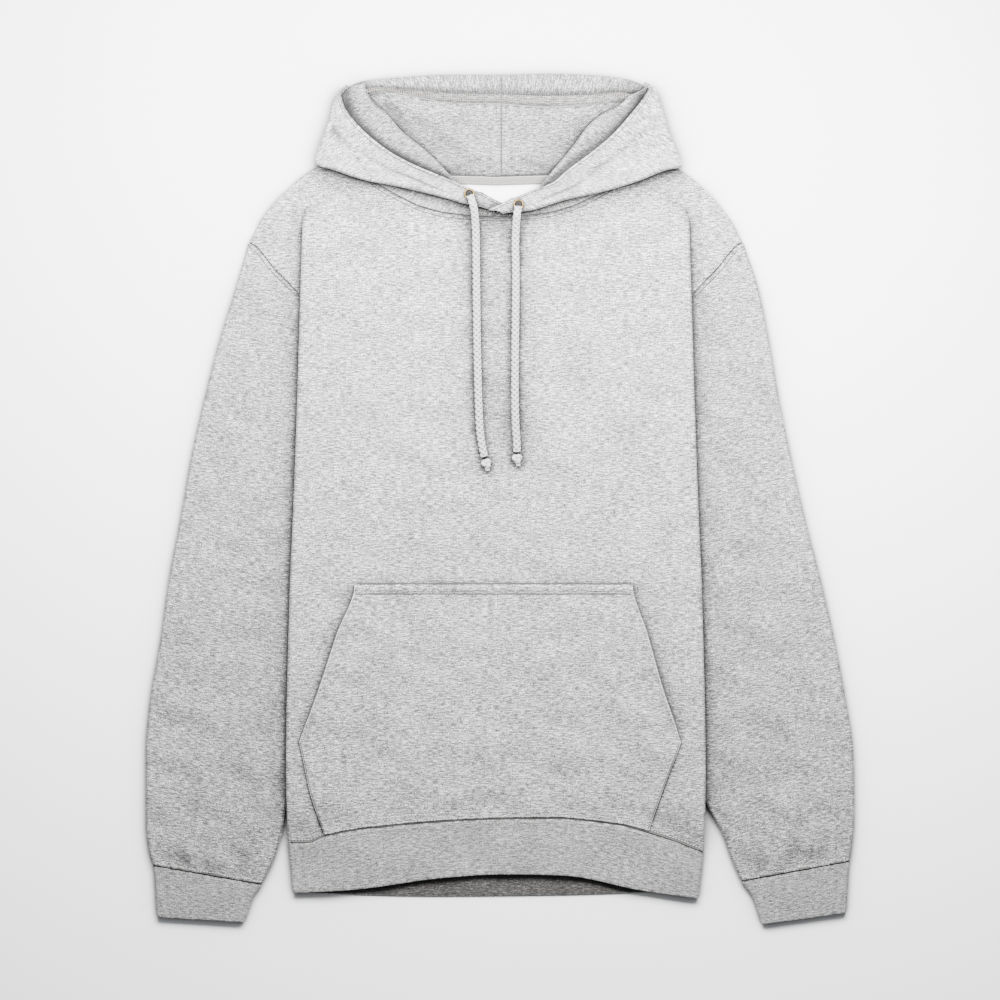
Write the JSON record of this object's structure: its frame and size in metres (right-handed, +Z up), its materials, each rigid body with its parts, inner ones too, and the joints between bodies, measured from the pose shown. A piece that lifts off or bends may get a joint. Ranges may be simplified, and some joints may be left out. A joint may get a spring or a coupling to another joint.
{
  "type": "pullover hoodie",
  "caption": "Pullover hoodie in grey marl fleece, laid flat face up: lined hood with drawcord and metal eyelets, kangaroo pocket, ribbed cuffs and hem band.",
  "frame": {"origin": "middle of the laid garment's box in plan, on the surface that it lies on", "axes": "+Z up from that surface, +Y from the hem to the hood, +X to the right of a viewer who looks down at the front"},
  "size_m": [0.6796, 0.8156, 0.0232],
  "materials": {
    "marl_fleece": "light grey marl jersey with fine streaks, brushed white fleece inside",
    "hood_lining": "light grey marl jersey",
    "rib": "grey marl rib knit",
    "tape": "pale twill tape",
    "drawcord": "flat braided cord",
    "eyelet": "aged brass"
  },
  "bodies": {
    "root": {"front_panel": "marl_fleece", "back_panel": "marl_fleece", "sleeve_left": "marl_fleece", "sleeve_right": "marl_fleece", "kangaroo_pocket": "marl_fleece", "hood_back_outer_left": "marl_fleece", "hood_back_outer_right": "marl_fleece", "hood_side_outer_left": "marl_fleece", "hood_side_outer_right": "marl_fleece", "hood_back_lining_left": "hood_lining", "hood_back_lining_right": "hood_lining", "hood_side_lining_left": "hood_lining", "hood_side_lining_right": "hood_lining", "cuff_left": "rib", "cuff_right": "rib", "hem_band": "rib", "neck_tape": "tape", "drawcord_left": "drawcord", "drawcord_right": "drawcord", "cord_knot_left": "drawcord", "cord_knot_right": "drawcord", "eyelet_left": "eyelet", "eyelet_right": "eyelet"}
  },
  "joints": []
}
